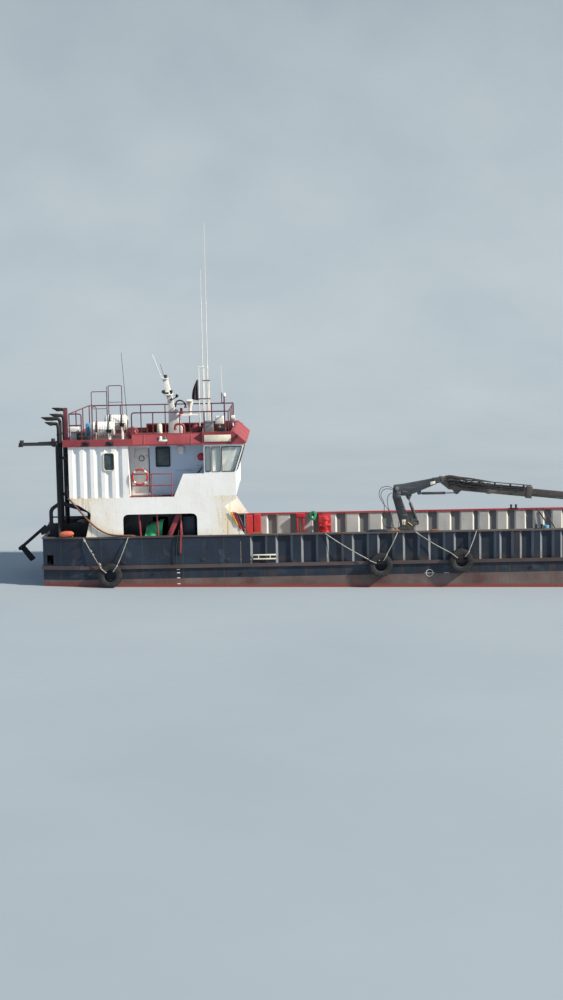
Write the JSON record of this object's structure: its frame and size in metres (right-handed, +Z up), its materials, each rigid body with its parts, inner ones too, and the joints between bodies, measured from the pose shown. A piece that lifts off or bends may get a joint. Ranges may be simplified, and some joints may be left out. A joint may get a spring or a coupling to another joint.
{
  "type": "river landing barge",
  "caption": "Shallow self-propelled river barge with an aft wheelhouse, an open cargo deck between corrugated bulwarks, a folding deck crane and a bow ramp.",
  "frame": {"origin": "on the flat bottom, amidships, on the centre line", "axes": "+X forward to the bow ramp, +Y to port, +Z up"},
  "size_m": [37.5775, 9.0906, 17.42],
  "materials": {
    "hull_paint": "navy, nearly black, weathered",
    "bottom_paint": "red-brown antifouling",
    "grey_paint": "light grey-green, rust at the edges",
    "white_paint": "white with rust streaks",
    "red_paint": "faded red",
    "maroon_paint": "maroon",
    "black_paint": "black, sooty",
    "crane_paint": "dark grey, worn",
    "chrome_rod": "hard chrome",
    "bronze": "propeller bronze",
    "window_glass": "clear, lightly tinted",
    "old_tyre": "worn tyre rubber",
    "raft_plastic": "white glass fibre"
  },
  "bodies": {
    "hull": {"hull": "hull_paint", "rub_rail": "hull_paint", "stern_bulwark": "hull_paint", "bulwark_starboard": "grey_paint", "bulwark_port": "grey_paint", "side_plating_starboard": "white_paint", "side_plating_port": "white_paint", "side_rail_starboard": "red_paint", "side_rail_port": "red_paint", "tyre_starboard_1": "old_tyre", "tyre_starboard_2": "old_tyre", "tyre_starboard_3": "old_tyre", "tyre_port_1": "old_tyre", "tyre_port_2": "old_tyre", "tyre_port_3": "old_tyre", "lower_house": "white_paint", "boat_deck": "red_paint", "upper_house": "white_paint", "wheelhouse": "white_paint", "wheelhouse_glass": "window_glass", "roof": "red_paint", "roof_rails": "maroon_paint", "mast": "white_paint", "antenna_tall": "white_paint", "antenna_short": "white_paint", "raft_aft": "raft_plastic", "raft_fore": "raft_plastic", "vent_aft": "red_paint", "vent_fore": "red_paint", "gooseneck": "red_paint", "exhausts": "black_paint", "davit_post": "black_paint", "stern_frame": "black_paint", "anchor_roller": "black_paint", "anchor": "black_paint", "stair": "red_paint", "crane_base": "crane_paint"},
    "crane_column": {"crane_column": "crane_paint"},
    "crane_main_boom": {"crane_main_boom": "crane_paint"},
    "crane_outer_boom": {"crane_outer_boom": "crane_paint"},
    "crane_extension": {"crane_extension": "crane_paint"},
    "crane_lift_barrel": {"crane_lift_barrel": "crane_paint"},
    "crane_lift_rod": {"crane_lift_rod": "chrome_rod"},
    "crane_knuckle_barrel": {"crane_knuckle_barrel": "crane_paint"},
    "crane_knuckle_rod": {"crane_knuckle_rod": "chrome_rod"},
    "bow_ramp": {"bow_ramp": "grey_paint"},
    "ramp_barrels": {"ramp_barrel_starboard": "crane_paint", "ramp_barrel_port": "crane_paint"},
    "ramp_rods": {"ramp_rod_starboard": "chrome_rod", "ramp_rod_port": "chrome_rod"},
    "propeller_starboard": {"propeller_starboard": "bronze"},
    "propeller_port": {"propeller_port": "bronze"},
    "rudder_starboard": {"rudder_starboard": "bottom_paint"},
    "rudder_port": {"rudder_port": "bottom_paint"},
    "door_starboard": {"door_starboard": "white_paint"},
    "door_port": {"door_port": "white_paint"},
    "radar": {"radar": "raft_plastic"},
    "winch_drum": {"winch_drum": "black_paint"},
    "davit_boom": {"davit_boom": "black_paint"}
  },
  "joints": [
    {"name": "crane_slew", "type": "hinge", "parent": "hull", "child": "crane_column", "pos_m": [-0.9, -3.56, 2.95], "axis": [0, 0, 1], "range_deg": [-165, 130]},
    {"name": "crane_lift", "type": "hinge", "parent": "crane_column", "child": "crane_main_boom", "pos_m": [-1.33, -3.56, 5.33], "axis": [0, -1, 0], "range_deg": [-8, 55]},
    {"name": "crane_fold", "type": "hinge", "parent": "crane_main_boom", "child": "crane_outer_boom", "pos_m": [0.7, -3.56, 5.69], "axis": [0, 1, 0], "range_deg": [-20, 14]},
    {"name": "crane_reach", "type": "slide", "parent": "crane_outer_boom", "child": "crane_extension", "axis": [0.9936, 0, -0.1132], "range_m": [-2.4, 0.3]},
    {"name": "lift_barrel_pivot", "type": "hinge", "parent": "crane_column", "child": "crane_lift_barrel", "pos_m": [-0.42, -3.56, 3.76], "axis": [0, -1, 0], "range_deg": [-16, 4]},
    {"name": "lift_rod_slide", "type": "slide", "parent": "crane_lift_barrel", "child": "crane_lift_rod", "axis": [-0.3292, 0, 0.9443], "range_m": [-0.09, 0.56]},
    {"name": "fold_barrel_pivot", "type": "hinge", "parent": "crane_main_boom", "child": "crane_knuckle_barrel", "pos_m": [-0.33, -3.56, 5.06], "axis": [0, -1, 0], "range_deg": [-6, 9]},
    {"name": "fold_rod_slide", "type": "slide", "parent": "crane_knuckle_barrel", "child": "crane_knuckle_rod", "axis": [1, 0, -0.0047], "range_m": [-0.17, 0.24]},
    {"name": "bow_ramp_hinge", "type": "hinge", "parent": "hull", "child": "bow_ramp", "pos_m": [16.96, 0, 2], "axis": [0, 1, 0], "range_deg": [0, 82]},
    {"name": "ramp_barrel_pivot", "type": "hinge", "parent": "hull", "child": "ramp_barrels", "pos_m": [15, 0, 3.12], "axis": [0, -1, 0], "range_deg": [-26, 1]},
    {"name": "ramp_rod_slide", "type": "slide", "parent": "ramp_barrels", "child": "ramp_rods", "axis": [0.9994, 0, 0.0345], "range_m": [0, 1.15]},
    {"name": "propeller_starboard_spin", "type": "hinge", "parent": "hull", "child": "propeller_starboard", "pos_m": [-14.15, -1.9, 0.43], "axis": [1, 0, 0], "continuous": true},
    {"name": "propeller_port_spin", "type": "hinge", "parent": "hull", "child": "propeller_port", "pos_m": [-14.15, 1.9, 0.43], "axis": [1, 0, 0], "continuous": true},
    {"name": "rudder_starboard_turn", "type": "hinge", "parent": "hull", "child": "rudder_starboard", "pos_m": [-15.3, -1.9, 0.7], "axis": [0, 0, 1], "range_deg": [-35, 35]},
    {"name": "rudder_port_turn", "type": "hinge", "parent": "hull", "child": "rudder_port", "pos_m": [-15.3, 1.9, 0.7], "axis": [0, 0, 1], "range_deg": [-35, 35]},
    {"name": "door_starboard_swing", "type": "hinge", "parent": "hull", "child": "door_starboard", "pos_m": [-13.13, -3.2133, 6.3], "axis": [0, 0, -1], "range_deg": [0, 100]},
    {"name": "door_port_swing", "type": "hinge", "parent": "hull", "child": "door_port", "pos_m": [-13.13, 3.2133, 6.3], "axis": [0, 0, 1], "range_deg": [0, 100]},
    {"name": "radar_spin", "type": "hinge", "parent": "hull", "child": "radar", "pos_m": [-10.75, 0, 8.7], "axis": [0, 0, 1], "continuous": true},
    {"name": "winch_spin", "type": "hinge", "parent": "hull", "child": "winch_drum", "pos_m": [-15.8, -2.1, 3.56], "axis": [0, 1, 0], "continuous": true},
    {"name": "davit_swing", "type": "hinge", "parent": "hull", "child": "davit_boom", "pos_m": [-16.56, -3.72, 7.6], "axis": [0, 0, 1], "range_deg": [-55, 90]}
  ],
  "couplings": [
    {"joint": "lift_barrel_pivot", "follows": "crane_lift", "ratio": -0.2676},
    {"joint": "lift_rod_slide", "follows": "crane_lift", "m_per_rad": 0.5688},
    {"joint": "fold_barrel_pivot", "follows": "crane_fold", "ratio": -0.3916},
    {"joint": "fold_rod_slide", "follows": "crane_fold", "m_per_rad": -0.6111},
    {"joint": "ramp_barrel_pivot", "follows": "bow_ramp_hinge", "ratio": -0.2967},
    {"joint": "ramp_rod_slide", "follows": "bow_ramp_hinge", "m_per_rad": 0.7908},
    {"joint": "rudder_port_turn", "follows": "rudder_starboard_turn", "ratio": 1}
  ]
}
